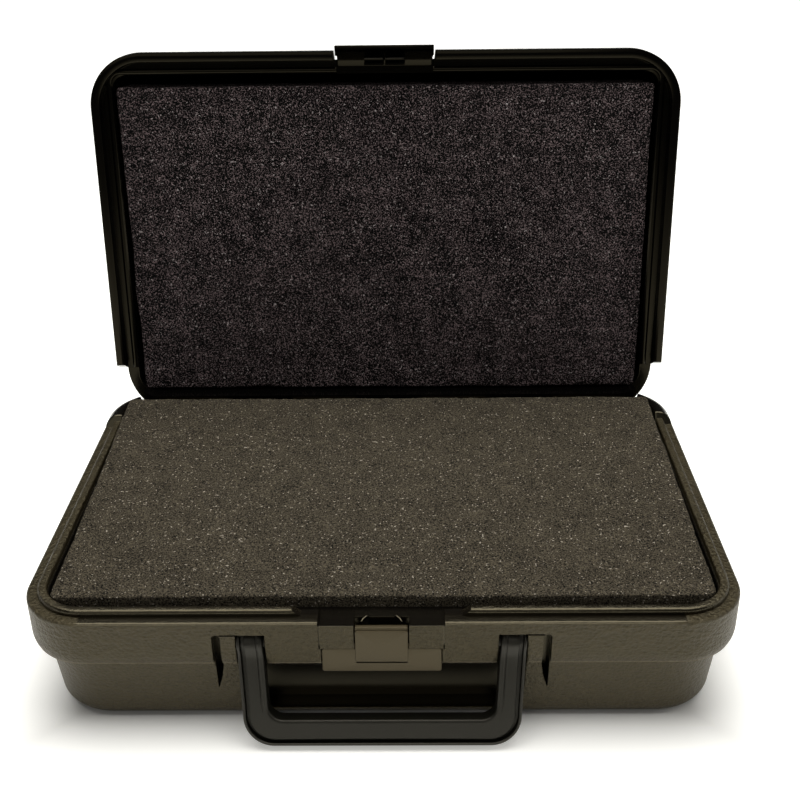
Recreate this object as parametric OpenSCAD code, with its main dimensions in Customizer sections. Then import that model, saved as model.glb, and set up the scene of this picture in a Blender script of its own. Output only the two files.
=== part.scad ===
/* [Case] */
// Width of the case across its belt
case_w = 330; // [300:1:370]
// Depth of the case, front face to back face
case_d = 220; // [205:1:250]
// Height of the base, floor to shoulder
base_h = 61; // [56:1:80]
// Height of the lid above the shoulder
lid_h = 38; // [32:1:55]
// Plan radius of the four upright corners
corner_r = 30; // [26:1:34]
// Angle at which the open lid comes to rest
lid_open = 96.4; // [92:0.1:98]
// Gap between lid and base when shut
part_gap = 0.3; // [0.2:0.1:0.6]

/* [Walls] */
// Thickness of each moulded skin
skin = 1.8; // [1.4:0.1:2]
// Double side wall, belt face to cavity
wall = 10; // [10:0.5:14]
// Double floor of the base
floor_t = 8; // [6:0.5:12]
// Double roof of the lid
roof_t = 7; // [6:0.5:10]
// Draft of each cavity wall over its depth
cavity_draft = 2; // [1:0.5:3]
// Radius along the bottom of each cavity
cavity_r = 6; // [4:0.5:9]

/* [Base outside] */
// Height of the textured belt under the shoulder
belt_h = 23.5; // [20:1:26]
// How far the belt rounds in at its foot
belt_draw = 2.6; // [1:0.1:4.5]
// Height over which the belt rounds in
belt_round = 6; // [3:0.5:8]
// Step from the belt foot in to the body
belt_step = 1.5; // [1:0.1:3]
// How far the body draws in further down
body_draw = 3.4; // [0.5:0.1:4]
// Extra plan radius of the body corners
body_soften = 7; // [3:0.5:9]
// Radius along the bottom edge of the base
bottom_r = 8; // [7:0.5:12]
// Flat shoulder outside the raised lip
shoulder_w = 6; // [6:0.5:7]
// Thickness of the raised lip
lip_w = 3.5; // [2:0.1:3.6]
// Height of the raised lip
lip_h = 4.5; // [3:0.1:5]
// Half width of the gap in the lip behind the latch
lip_break = 34; // [30:0.5:40]

/* [Lid outside] */
// Height of the lid's rim band
rim_h = 8.5; // [8:0.1:12]
// Width of the rim's edge
rim_w = 5; // [4:0.1:5]
// How far the lid draws in from rim to roof
lid_draw = 3.5; // [2:0.5:6]
// Radius along the top edge of the lid
top_r = 11; // [7:0.5:14]
// Depth of the panel sunk in the roof
panel_depth = 0.8; // [0.4:0.1:1.2]
// Margin round the sunk panel
panel_margin = 34; // [25:1:50]
// Distance of the notched rear corners from the back face
notch_reach = 38; // [34:1:44]

/* [Hinge] */
// Hinge axis in front of the back face
hinge_in = 8.3; // [8:0.1:10]
// Hinge axis below the shoulder
hinge_drop = 8.5; // [8:0.1:9.5]
// Radius of the moulded knuckles
knuckle_r = 6; // [5:0.1:6.5]
// Number of knuckles, base ones at both ends
knuckles = 7; // [5:2:11]
// Length of the row of knuckles
hinge_span = 280; // [200:5:285]
// Gap between neighbouring knuckles
knuckle_gap = 0.6; // [0.4:0.1:1]
// Radius of the steel hinge rod
rod_r = 1.6; // [1.2:0.1:2.2]
// Radial clearance of the rod and of the latch pivots
pin_clear = 0.08; // [0.02:0.01:0.1]

/* [Handle] */
// Width of the handle over its legs, at the pivots
handle_w = 130; // [118:0.2:134]
// Width of each leg
leg_w = 11.6; // [10:0.2:14]
// Width of the grip
grip_w = 12.4; // [10:0.2:14]
// Thickness of the handle
handle_t = 9; // [7:0.5:9.5]
// Inward lean of each leg from its pivot to the grip's low edge
leg_lean = 2.8; // [0:0.1:4]
// Lean of the handle, propped on the floor
handle_lean = 18.8; // [14:0.1:24]
// Outer radius of the grip corners
grip_r = 14; // [12:0.5:18]
// Radius of the handle's pivot bosses
boss_r = 3; // [2:0.1:3.5]
// Length of each pivot boss past the leg
boss_len = 4.2; // [2:0.1:4.5]
// Handle axis behind the front face
handle_in = 5; // [4.8:0.1:5.5]
// Handle axis below the shoulder
handle_drop = 13.5; // [12.5:0.1:15]
// Clearance outside each leg, and half of that inside it
leg_gap = 0.8; // [0.6:0.1:1.4]

/* [Front recess] */
// Depth of the handle recess
recess_d = 16; // [15:0.5:20]
// Thickness of the sill under the recess
sill_h = 5; // [4:0.5:8]
// Corner radius of the recess
recess_r = 10.5; // [6:0.5:14]
// Top of the leg channels below the shoulder
channel_drop = 6.3; // [6:0.1:7]
// Thickness of the springy ear beside each leg
ear_w = 6; // [5:0.1:8]
// Width of the slot outside each ear
slot_w = 4.4; // [3:0.1:6]
// Length of that slot
slot_h = 36.5; // [25:0.5:38]
// Depth of that slot
slot_d = 12; // [8:0.5:13]

/* [Latch] */
// Width of the latch's lower band
latch_w = 54; // [46:0.5:60]
// Height of the lower band
band_h = 12; // [11:0.5:13]
// Width of the latch's stem
stem_w = 23.6; // [18:0.2:30]
// Latch foot below the shoulder
latch_drop = 26.6; // [26:0.1:28]
// Thickness of the band
band_t = 4; // [3.6:0.1:4.4]
// Radius of the latch's pivot bosses
latch_boss_r = 1.5; // [1.2:0.1:1.7]
// Gap round the latch
latch_gap = 0.6; // [0.4:0.1:1]
// How far the lid's tab stands out over the latch
tab_out = 3; // [2.6:0.1:4]
// Width of the slot at each side of the tab
tab_slot = 1.1; // [0.8:0.1:2.5]

/* [Foam] */
// Gap at each side of the base foam, at the cavity's mouth
foam_side = 2.5; // [2.4:0.1:12]
// Front edge of the base foam behind the front face
foam_front = 18.4; // [18:0.1:30]
// Thickness of the loose pad under the foam
pad_t = 12; // [8:0.5:20]
// Foam standing above the shoulder at its front edge
foam_crown = 1.5; // [0:0.1:4]
// Foam standing above the shoulder at its back edge
foam_rise = 7.8; // [0:0.1:8]
// Lid foam's face above the shoulder
lid_foam_z = 9.3; // [8.5:0.1:12]
// Front edge of the lid foam behind the front face
lid_foam_front = 21.8; // [16:0.1:30]
// Corner radius of the foam
foam_r = 5; // [2:0.5:8]
// Clearance round each foam
foam_gap = 0.4; // [0.3:0.1:0.8]

/* [Hidden] */
$fn = 48;
eps = 0.01;
hull_fn = 32;

half_w = case_w / 2;
front_y = -case_d / 2;
back_y = case_d / 2;
belt_foot = base_h - belt_h;
belt_taper = 0.02;
lid_z = base_h + part_gap;
roof_z = base_h + lid_h;

// Cavities of base and lid
cav_half = half_w - wall;
cav_front = front_y + wall;
hinge_y = back_y - hinge_in;
hinge_z = base_h - hinge_drop;
gutter_y = hinge_y - knuckle_r - 0.5;
cav_back = gutter_y - skin - 0.9;
cav_rear_r = 12;
gutter_half = cav_half - 5;

// The lid's back wall lies on the rear edge of the gutter when the lid is open
gutter_z = hinge_z - knuckle_r / cos(lid_open - 90)
           - (back_y - hinge_y) * tan(lid_open - 90) - 0.35;
body_in = belt_draw + belt_step;
lid_half = half_w - rim_w;
lid_front_r = corner_r - rim_w - 3;
mouth_half = cav_half - 1;
mouth_front = cav_front + 1.8;
mouth_r = 6;
lid_back = hinge_y + knuckle_r;
lid_rear_r = corner_r + 2;
ledge_z = lid_z + rim_h - 1;
notch_y = back_y - notch_reach;
hump_top = ledge_z - 1.8;
hump_lean = 3.8;
hump_r = 7;
hump_inset = 0.4;
pitch = hinge_span / knuckles;

// Handle: the grip's lowest edge stands just above the floor at the rest lean
handle_y = front_y + handle_in;
handle_z = base_h - handle_drop;
floor_gap = 0.35;
reach = (handle_z - floor_gap - handle_t / 2 * sin(handle_lean)) / cos(handle_lean);
leg_out = handle_w / 2;
leg_in = leg_out - leg_w;
leg_top_r = handle_drop - channel_drop - 1;
inner_share = 1 - grip_w / reach;
channel_z = base_h - channel_drop;
channel_out = leg_out + leg_gap;
channel_in = leg_in - 2 * leg_gap;
slot_in = channel_out + ear_w;
slot_out = slot_in + slot_w;
recess_y = front_y + recess_d;
bulge_half = slot_out + skin;
bulge_y = recess_y + skin;
bulge_z = channel_z + skin;
ceiling_r = 0.64 * recess_d;
channel_low = belt_foot - 14;
channel_r = 1.5;
block_low = belt_foot + 1.5;

// Latch
band_z = base_h - latch_drop;
band_top = band_z + band_h;
band_y = front_y + 0.6;
stem_top = base_h - 2.9;
stem_t = 2.2;
stem_half = stem_w / 2;
latch_y = band_y + band_t / 2;
latch_z = band_top - 3;
latch_boss_len = 2;
flap_z = band_top + latch_gap;
flap_top = base_h - 1.8;
flap_t = 2;
band_room = band_t + 2.6;
pocket_front = band_y + stem_t + 0.3;
pocket_back = front_y + 10.5;
plate_proud = 0.8;
plate_z = band_z + 5;

// Lid's tab
tab_half = latch_w / 2 + 0.4;
tab_z = flap_top + 0.5;
tab_wall = 2.2;
tab_taper = 1.4;
tab_root = front_y + 8;
bar_t = 1.2;
bar_y = pocket_front + 0.3;

// Foams
foam_half = cav_half - foam_side;
foam_low_r = (corner_r - wall - cavity_draft) / 2;
pad_z = floor_t + foam_gap;
pad_in = cavity_draft + cavity_r;
pad_r = max(2, corner_r - wall - pad_in);
foam_z = pad_z + pad_t + foam_gap;
foam_back = cav_back - cavity_draft - foam_gap;
lid_foam_half = mouth_half - cavity_draft - 1.6;

// Thin plate with its own front and rear corner radii, for hulls
module plate(z, half, yf, yb, rf, rb) {
    for (s = [-1, 1]) {
        translate([s * (half - rf), yf + rf, z]) cylinder(r = rf, h = eps, $fn = hull_fn);
        translate([s * (half - rb), yb - rb, z]) cylinder(r = rb, h = eps, $fn = hull_fn);
    }
}

// Plan outline of the case, drawn in by inset and with softened corners
module outline(inset, soften = 0) {
    r = corner_r - inset + soften;
    offset(r = r) square([case_w - 2 * (inset + r), case_d - 2 * (inset + r)], center = true);
}

module case_plate(z, inset, soften = 0) {
    r = max(2, corner_r - inset + soften);
    plate(z, half_w - inset, front_y + inset, back_y - inset, r, r);
}

module base_cavity_plate(z, inset) {
    plate(z, cav_half - inset, cav_front + inset, cav_back - inset,
          max(2, corner_r - wall - inset), max(2, cav_rear_r - inset));
}

module lid_plate(z, inset) {
    plate(z, lid_half - inset, front_y + rim_w + inset, lid_back - inset,
          max(2, lid_front_r - inset), max(2, lid_rear_r - inset));
}

module lid_cavity_plate(z, inset, soften = 0) {
    plate(z, mouth_half - inset, mouth_front + inset, cav_back - inset,
          max(2, mouth_r + soften - inset), max(2, cav_rear_r - inset));
}

// Plan outline of the lid's mouth, grown outwards
module mouth_outline(grow) {
    translate([0, (mouth_front + cav_back) / 2]) offset(r = mouth_r + grow)
        square([2 * (mouth_half - mouth_r), cav_back - mouth_front - 2 * mouth_r], center = true);
}

// Drawing seen from the front, cut or grown from y to y + depth
module from_front(y, depth) {
    translate([0, y + depth, 0]) rotate([90, 0, 0]) linear_extrude(depth) children();
}

// Side profile in y and z, centred on x
module from_side(length) {
    translate([-length / 2, 0, 0]) rotate([90, 0, 90]) linear_extrude(length) children();
}

// Round bar along x between two places
module bar_x(x0, x1, y, z, r) {
    translate([x0, y, z]) rotate([0, 90, 0]) cylinder(r = r, h = x1 - x0);
}

// The belt, shoulder to foot; t thins it for the space inside the skin
module belt_body(t = 0) {
    hull() {
        case_plate(base_h - eps - t, 1.2 + t);
        case_plate(base_h - 1.2 - t, t);
        case_plate(belt_foot + belt_round, belt_taper + t);
        case_plate(belt_foot + 0.5 * belt_round + 0.5 * t, 0.14 * belt_draw + t);
        case_plate(belt_foot + 0.15 * belt_round + t, 0.5 * belt_draw + t);
        case_plate(belt_foot + t, belt_draw + t);
    }
}

// The body below the belt, with its rounded bottom edge
module lower_body(t = 0) {
    low = body_in + body_draw + t;
    hull() {
        case_plate(belt_foot + 1 + 2 * t, body_in + t, body_soften);
        for (a = [0, 30, 60, 90])
            case_plate(bottom_r - (bottom_r - t) * sin(a), low + (bottom_r - t) * (1 - cos(a)),
                       body_soften);
    }
}

module base_cavity(t = 0) {
    hull() {
        base_cavity_plate(hump_top + 1, -t);
        for (a = [0, 45, 90])
            base_cavity_plate(floor_t + cavity_r - (cavity_r + t) * sin(a),
                              cavity_draft + cavity_r - (cavity_r + t) * cos(a));
    }
}

// Closed space between the two skins of the base
module base_hollow() {
    difference() {
        union() {
            belt_body(skin);
            lower_body(skin);
        }
        base_cavity(skin);
        translate([-bulge_half - skin, front_y - 1, -1])
            cube([2 * (bulge_half + skin), recess_d + 2 * skin + 1, base_h + 2]);
        translate([-half_w, gutter_y - skin, gutter_z - skin]) cube([case_w, case_d, base_h]);
        translate([-half_w, -half_w, base_h - skin - 1.2]) cube([case_w, case_w, base_h]);
    }
}

// Inner skin behind the handle recess
module recess_bulge() {
    translate([-bulge_half, cav_front - 1, floor_t - 1])
        cube([2 * bulge_half, bulge_y - cav_front + 1, bulge_z - floor_t + 1]);
}

module lip() {
    difference() {
        translate([0, 0, base_h - eps]) linear_extrude(lip_h + eps) difference() {
            outline(shoulder_w);
            outline(shoulder_w + lip_w);
            translate([-half_w, notch_y + 3]) square([case_w, case_d]);
        }
        from_front(front_y, 3 * wall) polygon([
            [-lip_break, base_h - 1], [lip_break, base_h - 1],
            [lip_break + 2.8, base_h + lip_h + 1], [-lip_break - 2.8, base_h + lip_h + 1]]);
    }
}

// Raised rear corners that fill the lid's notches
module humps() {
    intersection() {
        hull() {
            case_plate(base_h - 1, hump_inset);
            for (a = [0, 30, 60, 90])
                case_plate(hump_top - hump_r * (1 - sin(a)) - eps, hump_inset + hump_r * (1 - cos(a)));
        }
        for (s = [-1, 1]) translate([s * (gutter_half + half_w) / 2, 0, 0])
            from_side(half_w - gutter_half) polygon([
                [notch_y + 0.5, base_h - 1], [notch_y + 0.5, base_h],
                [notch_y + 0.5 + hump_lean, hump_top], [back_y, hump_top], [back_y, base_h - 1]]);
    }
}

module handle_recess() {
    intersection() {
        from_front(front_y - 1, recess_d + 1) offset(r = recess_r) offset(delta = -recess_r)
            translate([-channel_out, sill_h]) square([2 * channel_out, base_h]);
        from_side(case_w) difference() {
            translate([front_y - 2, 0]) square([recess_d + 2, belt_foot]);
            translate([recess_y, belt_foot + 0.5]) circle(r = ceiling_r);
        }
    }
    for (s = [-1, 1]) from_front(front_y - 1, recess_d + 1)
        offset(r = channel_r) offset(delta = -channel_r) polygon([
            [s * (channel_in - 1.2), channel_low], [s * channel_in, handle_z], [s * channel_in, channel_z],
            [s * channel_out, channel_z], [s * channel_out, channel_low]]);
}

// Raised blocks between the leg channels and the latch
module blocks() {
    for (s = [-1, 1]) from_front(front_y, body_in) offset(r = 1) offset(delta = -1) polygon([
        [s * stem_half, block_low], [s * (channel_in - 3.6), block_low],
        [s * (channel_in - 1.1), block_low + 2.5],
        [s * (channel_in + 1), channel_z - 3], [s * (channel_in + 1), base_h - 2],
        [s * stem_half, base_h - 2]]);
}

module ear_slots() {
    for (s = [-1, 1]) from_front(front_y - 1, slot_d + 1) polygon([
        [s * slot_in, channel_z - 0.3], [s * slot_out, channel_z - 0.3],
        [s * slot_out, channel_z - 0.85 * slot_h], [s * (slot_out - 0.8), channel_z - slot_h],
        [s * (slot_out - 2), channel_z - 0.98 * slot_h], [s * slot_in, channel_z - 0.6 * slot_h]]);
}

// Room for the latch, for its stem and for the hook bars behind it
module latch_room() {
    side = latch_w / 2 + latch_gap;
    translate([-side, front_y - 1, belt_foot - 8])
        cube([2 * side, band_y - front_y + band_room + 1, flap_z - belt_foot + 8]);
    translate([-stem_half - latch_gap, front_y - 1, band_z])
        cube([stem_w + 2 * latch_gap, band_room, base_h]);
    translate([-tab_half - 1, front_y - 1, flap_top]) cube([2 * tab_half + 2, recess_d, base_h]);
    translate([-stem_half - 2, front_y + flap_t, flap_z + 2])
        cube([stem_w + 4, pocket_back - front_y - flap_t, base_h]);
    translate([-tab_half - 1, front_y + flap_t, bulge_z])
        cube([2 * tab_half + 2, recess_d + 2 * skin, base_h]);
}

// Stiffening webs behind the latch
module latch_webs() {
    for (x = [-6.5, 6.5]) translate([x, 0, 0]) from_side(1.2) polygon([
        [pocket_back - 3.2, flap_z + 2], [pocket_back - 3.2, base_h - 6], [pocket_back + 0.5, base_h - 1.5],
        [pocket_back + 3, bulge_z - 0.5], [pocket_back + 3, flap_z + 1]]);
}

// One knuckle: a barrel with its root running from the axis to z_root
module knuckle(i, z_root, y_root) {
    x0 = -hinge_span / 2 + i * pitch + knuckle_gap / 2;
    len = pitch - knuckle_gap;
    bar_x(x0, x0 + len, hinge_y, hinge_z, knuckle_r);
    translate([x0, y_root, min(z_root, hinge_z)]) cube([len, lid_back - y_root, abs(z_root - hinge_z)]);
}

module base_shell() {
    color("#35332a") difference() {
        union() {
            difference() {
                union() {
                    belt_body();
                    lower_body();
                    blocks();
                    lip();
                    humps();
                }
                base_hollow();
                difference() {
                    base_cavity();
                    recess_bulge();
                }
                translate([-gutter_half, gutter_y, gutter_z]) cube([2 * gutter_half, case_d, base_h]);
                handle_recess();
                ear_slots();
                latch_room();
            }
            latch_webs();
            for (i = [0:2:knuckles - 1]) knuckle(i, gutter_z - 1, gutter_y - 1);
        }
        bar_x(-hinge_span / 2 + 3, hinge_span / 2 + 1, hinge_y, hinge_z, rod_r + pin_clear);
        for (s = [-1, 1]) {
            mirror([s > 0 ? 0 : 1, 0, 0]) {
                bar_x(leg_in - boss_len - 0.5, channel_in + 1, handle_y, handle_z, boss_r + pin_clear);
                bar_x(channel_out - 1, leg_out + boss_len + 0.5, handle_y, handle_z, boss_r + pin_clear);
                bar_x(latch_w / 2 - 1, latch_w / 2 + latch_boss_len + 0.4, latch_y, latch_z,
                      latch_boss_r + pin_clear);
            }
        }
    }
}

module lid_outer(t = 0) {
    hull() {
        lid_plate(ledge_z + t, t);
        for (a = [0, 30, 60, 90])
            lid_plate(roof_z - top_r + (top_r - t) * sin(a), lid_draw + t + (top_r - t) * (1 - cos(a)));
    }
}

module lid_cavity(t = 0) {
    hull() {
        lid_cavity_plate(lid_z - 1, -t);
        for (a = [0, 45, 90])
            lid_cavity_plate(roof_z - roof_t - cavity_r + (cavity_r + t) * sin(a),
                             cavity_draft + cavity_r - (cavity_r + t) * cos(a), 8);
    }
}

// Plan outline of the tab, narrower at its root
module tab_outline(grow = 0) {
    offset(delta = grow) polygon([
        [-tab_half, front_y - tab_out], [tab_half, front_y - tab_out],
        [tab_half - tab_taper, tab_root + 1], [-tab_half + tab_taper, tab_root + 1]]);
}

// Rim band, cut away at the rear corners and beside the tab
module lid_rim() {
    difference() {
        translate([0, 0, lid_z]) linear_extrude(rim_h) difference() {
            outline(0);
            outline(rim_w);
        }
        translate([-half_w - 1, notch_y, lid_z - 1]) cube([case_w + 2, case_d, rim_h + 2]);
        translate([0, 0, lid_z - 1]) linear_extrude(rim_h + 2) tab_outline(tab_slot);
    }
    translate([0, 0, ledge_z - 1]) linear_extrude(2) difference() {
        mouth_outline(2.5);
        mouth_outline(-1);
        translate([-tab_half - tab_slot, front_y]) square([2 * (tab_half + tab_slot), 2 * wall]);
        translate([-half_w, notch_y]) square([case_w, case_d]);
    }
}

// Bar under the lid's back wall that carries its knuckles
module lid_heel() {
    intersection() {
        translate([0, 0, lid_z]) linear_extrude(ledge_z - lid_z + 1) difference() {
            hull() for (s = [-1, 1]) {
                translate([s * (lid_half - lid_rear_r), lid_back - lid_rear_r]) circle(r = lid_rear_r);
                translate([s * (lid_half - 5), 0]) circle(r = 5);
            }
            translate([-half_w, front_y]) square([case_w, cav_back - front_y]);
        }
        translate([0.5 - gutter_half, front_y, lid_z - 1]) cube([2 * gutter_half - 1, case_d, lid_h]);
    }
}

// Springy front tab, with the bars that reach down behind the latch's stem
module lid_tab() {
    intersection() {
        from_side(2 * tab_half) polygon([
            [front_y - tab_out, tab_z], [front_y - tab_out, tab_z + 3], [front_y, lid_z + rim_h],
            [tab_root, lid_z + rim_h], [tab_root, ledge_z], [front_y + 1, lid_z + 4.5],
            [front_y - tab_out + tab_wall, tab_z + 3], [front_y - tab_out + tab_wall, tab_z]]);
        linear_extrude(2 * roof_z) tab_outline();
    }
    for (s = [-1, 1]) {
        translate([s * (stem_half / 2 - 0.1), 0, 0]) {
            from_side(stem_half - 1.2) polygon([
                [bar_y, stem_top - 1.4], [bar_y + bar_t, stem_top - 1.8], [bar_y + bar_t, ledge_z],
                [bar_y, ledge_z]]);
            from_side(stem_half - 0.6) polygon([
                [front_y + 6.4, lid_z + 1], [front_y + 7.6, lid_z + 1], [front_y + 8, ledge_z],
                [front_y + 6, ledge_z]]);
        }
    }
}

module roof_panel() {
    translate([0, 0, roof_z - panel_depth]) linear_extrude(2) offset(r = 8)
        square([case_w - 2 * panel_margin - 16, case_d - 2 * panel_margin - 16], center = true);
}

module lid_shut() {
    difference() {
        union() {
            difference() {
                union() {
                    lid_outer();
                    lid_rim();
                    lid_heel();
                }
                difference() {
                    lid_outer(skin);
                    lid_cavity(skin);
                }
                lid_cavity();
                roof_panel();
            }
            lid_tab();
            for (i = [1:2:knuckles - 2]) knuckle(i, lid_z + 1, hinge_y - knuckle_r);
        }
        bar_x(-hinge_span / 2, hinge_span / 2, hinge_y, hinge_z, rod_r + pin_clear);
    }
}

// Turns what is modelled on the shut lid to where the open lid rests
module opened() {
    translate([0, hinge_y, hinge_z]) rotate([-lid_open, 0, 0]) translate([0, -hinge_y, -hinge_z])
        children();
}

module lid_shell() {
    color("#26251f") opened() lid_shut();
}

module hinge_rod() {
    color("#8c8f92") bar_x(-hinge_span / 2 + 3.4, hinge_span / 2 - 0.2, hinge_y, hinge_z, rod_r);
}

// Front view of the handle, pivot axis at height 0
module handle_face() {
    difference() {
        offset(r = grip_r) offset(delta = -grip_r) polygon([
            [-leg_out - leg_lean, reach], [leg_out + leg_lean, reach],
            [leg_out - leg_lean, -reach], [-leg_out + leg_lean, -reach]]);
        offset(r = grip_r - 7) offset(delta = 7 - grip_r) polygon([
            [-leg_in - leg_lean, reach], [leg_in + leg_lean, reach],
            [leg_in - leg_lean * inner_share, grip_w - reach],
            [-leg_in + leg_lean * inner_share, grip_w - reach]]);
        translate([-handle_w, leg_top_r]) square([2 * handle_w, reach]);
    }
}

module handle() {
    color("#3c3f37") translate([0, handle_y, handle_z]) rotate([-handle_lean, 0, 0]) {
        difference() {
            intersection() {
                from_front(-leg_top_r, 2 * leg_top_r) handle_face();
                union() {
                    bar_x(-handle_w, handle_w, 0, 0, leg_top_r);
                    translate([-handle_w, -handle_t / 2, -reach - 1])
                        cube([2 * handle_w, handle_t, reach + 1]);
                }
            }
            from_front(-leg_top_r - 1, leg_top_r + 2.2 - handle_t / 2) intersection() {
                difference() {
                    offset(delta = -1.2) handle_face();
                    offset(delta = -2.6) handle_face();
                }
                translate([-leg_out, -reach]) square([handle_w, reach]);
            }
        }
        for (s = [-1, 1]) mirror([s > 0 ? 0 : 1, 0, 0])
            bar_x(leg_in - boss_len, leg_out + boss_len, 0, 0, boss_r);
    }
}

module latch_rocker() {
    color("#4a4739") {
        translate([-latch_w / 2, 0, 0]) from_front(band_y, band_t) translate([0, band_z]) {
            offset(r = 1.2) offset(delta = -1.2) square([latch_w, band_h]);
            translate([0, band_h - 2]) square([latch_w, 2]);
        }
        translate([-stem_half, band_y, band_top - 1]) cube([stem_w, stem_t, stem_top - band_top + 1]);
        translate([-stem_half, band_y - plate_proud, plate_z])
            cube([stem_w, plate_proud + 0.5, stem_top - plate_z - 1.4]);
        for (s = [-1, 1]) mirror([s > 0 ? 0 : 1, 0, 0])
            bar_x(latch_w / 2 - 1, latch_w / 2 + latch_boss_len, latch_y, latch_z, latch_boss_r);
    }
}

// Foam block whose upright corners go from radius r0 below to r1 above
module foam_block(half, yf, yb, z0, z1, r0, r1) {
    hull() {
        plate(z0, half, yf, yb, r0, r0);
        plate(z1 - eps, half, yf, yb, r1, r1);
    }
}

module base_foam() {
    color("#4b463c") intersection() {
        foam_block(foam_half, front_y + foam_front, foam_back, foam_z, base_h + foam_rise + 1,
                   foam_low_r, foam_r);
        from_side(case_w) polygon([
            [front_y, 0], [back_y, 0], [foam_back, base_h + foam_rise],
            [front_y + foam_front, base_h + foam_crown], [front_y, base_h + foam_crown]]);
    }
}

module base_pad() {
    color("#3f3b34") foam_block(cav_half - pad_in, front_y + foam_front, foam_back - pad_in + cavity_draft,
                                pad_z, pad_z + pad_t, pad_r, pad_r);
}

// Its inner edges are cut back to pass the rounded roof
module lid_foam() {
    low_r = foam_low_r - 1;
    edge = cavity_r - 1;
    color("#3b353b") opened() hull() {
        plate(base_h + lid_foam_z, lid_foam_half, front_y + lid_foam_front, foam_back, foam_r, foam_r);
        plate(roof_z - roof_t - cavity_r, lid_foam_half, front_y + lid_foam_front, foam_back, low_r, low_r);
        plate(roof_z - roof_t - foam_gap - eps, lid_foam_half - edge, front_y + lid_foam_front + edge,
              foam_back - edge, low_r, low_r);
    }
}

base_shell();
lid_shell();
hinge_rod();
handle();
latch_rocker();
base_foam();
base_pad();
lid_foam();
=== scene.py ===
import math

import bmesh
import bpy
import numpy as np
from mathutils import Matrix


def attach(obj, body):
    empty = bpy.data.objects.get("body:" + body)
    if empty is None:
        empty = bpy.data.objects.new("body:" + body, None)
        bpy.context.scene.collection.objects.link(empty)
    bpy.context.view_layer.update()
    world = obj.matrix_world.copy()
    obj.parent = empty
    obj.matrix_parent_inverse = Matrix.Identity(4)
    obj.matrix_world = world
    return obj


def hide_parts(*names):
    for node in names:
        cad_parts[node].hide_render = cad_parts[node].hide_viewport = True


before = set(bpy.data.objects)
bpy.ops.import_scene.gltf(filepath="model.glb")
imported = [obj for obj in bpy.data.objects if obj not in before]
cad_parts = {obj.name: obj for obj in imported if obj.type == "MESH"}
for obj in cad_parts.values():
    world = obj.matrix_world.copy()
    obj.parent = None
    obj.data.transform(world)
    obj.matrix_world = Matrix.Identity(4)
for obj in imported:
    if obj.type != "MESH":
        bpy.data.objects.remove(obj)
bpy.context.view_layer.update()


# Base moulding
# Lower half of the case, one double-walled polyethylene blow moulding: a
# pebble-grained belt over a drafted body, with a smooth shoulder and inside.
# The handle recess, leg channels, ear slots and latch room are moulded in.

half_width, front_y, back_y = 165.0, -110.0, 110.0
outer_r = 30.0
run_x, run_y = half_width - outer_r, back_y - outer_r
base_h, belt_foot, shoulder_foot = 61.0, 37.5, 59.2
foot_r, foot_inset = 8.0, 7.5


def spaced(start, stop, step, edges=(), offsets=(0.0,)):
    """Places from start to stop, step apart, with more of them at the offsets from each edge; even ones
    that fall among those are left out."""
    near = np.array(sorted(e + o for e in edges for o in offsets if start <= e + o <= stop))
    even = np.linspace(start, stop, int(round((stop - start) / step)) + 1)
    if len(near):
        even = even[np.abs(even[:, None] - near[None, :]).min(1) > 0.3 * step]
        even = np.concatenate([even, [start, stop]])
    return np.unique(np.round(np.concatenate([even, near]), 5))


def outline_columns(front, side, back, front_turn, rear_turn):
    """Columns round a case, counter-clockwise from the front left. Each has a part (0 front, 1 right,
    2 back, 3 left, 4 to 7 the corners from front right on) and a value: x, y, or the angle round its
    corner."""
    turn, rear = np.radians(front_turn), np.radians(rear_turn)
    runs = [(0, front), (4, turn - np.pi / 2), (1, side), (5, rear), (2, back[::-1]),
            (6, np.pi - rear[::-1]), (3, side[::-1]), (7, 1.5 * np.pi - turn[::-1]), (0, front[:1])]
    return np.concatenate([np.full(len(v), k) for k, v in runs]), np.concatenate([v for k, v in runs])


def ring(columns, half, front, back, r_front, r_back, kept=60.0, rear_angle=None):
    """Rounded rectangle through the columns. Straight parts keep their places near the middle and
    stretch from there to the start of each corner; a corner is an arc about its own centre."""
    part, value = columns
    x, y = np.zeros(len(value)), np.zeros(len(value))

    def stretch(v, keep, start, end):
        """Places beyond keep move evenly, so that start comes to end."""
        a = np.abs(v)
        return np.sign(v) * np.where(a <= keep, a, keep + (a - keep) * (end - keep) / (start - keep))

    for k, level, r in ((0, front, r_front), (2, back, r_back)):
        here = part == k
        x[here], y[here] = stretch(value[here], 90.0, run_x, half - r), level
    for k, sign in ((1, 1), (3, -1)):
        here = part == k
        v = value[here]
        x[here] = sign * half
        ahead = stretch(v, 60.0, run_y, -front - r_front)
        behind = stretch(v, kept, run_y, back - r_back)
        y[here] = np.where(v < 0, ahead, behind)
    for k, sign, rear in ((4, 1, False), (5, 1, True), (6, -1, True), (7, -1, False)):
        here = part == k
        r = r_back if rear else r_front
        angle = value[here]
        if rear and rear_angle is not None:
            angle = rear_angle(angle)
        x[here] = sign * (half - r) + r * np.cos(angle)
        y[here] = (back - r if rear else front + r) + r * np.sin(angle)
    return np.stack([x, y], 1)


def at(xy, z):
    """The ring lifted to height z."""
    return np.concatenate([xy, np.broadcast_to(np.asarray(z, float).reshape(-1, 1), (len(xy), 1))], 1)


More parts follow.
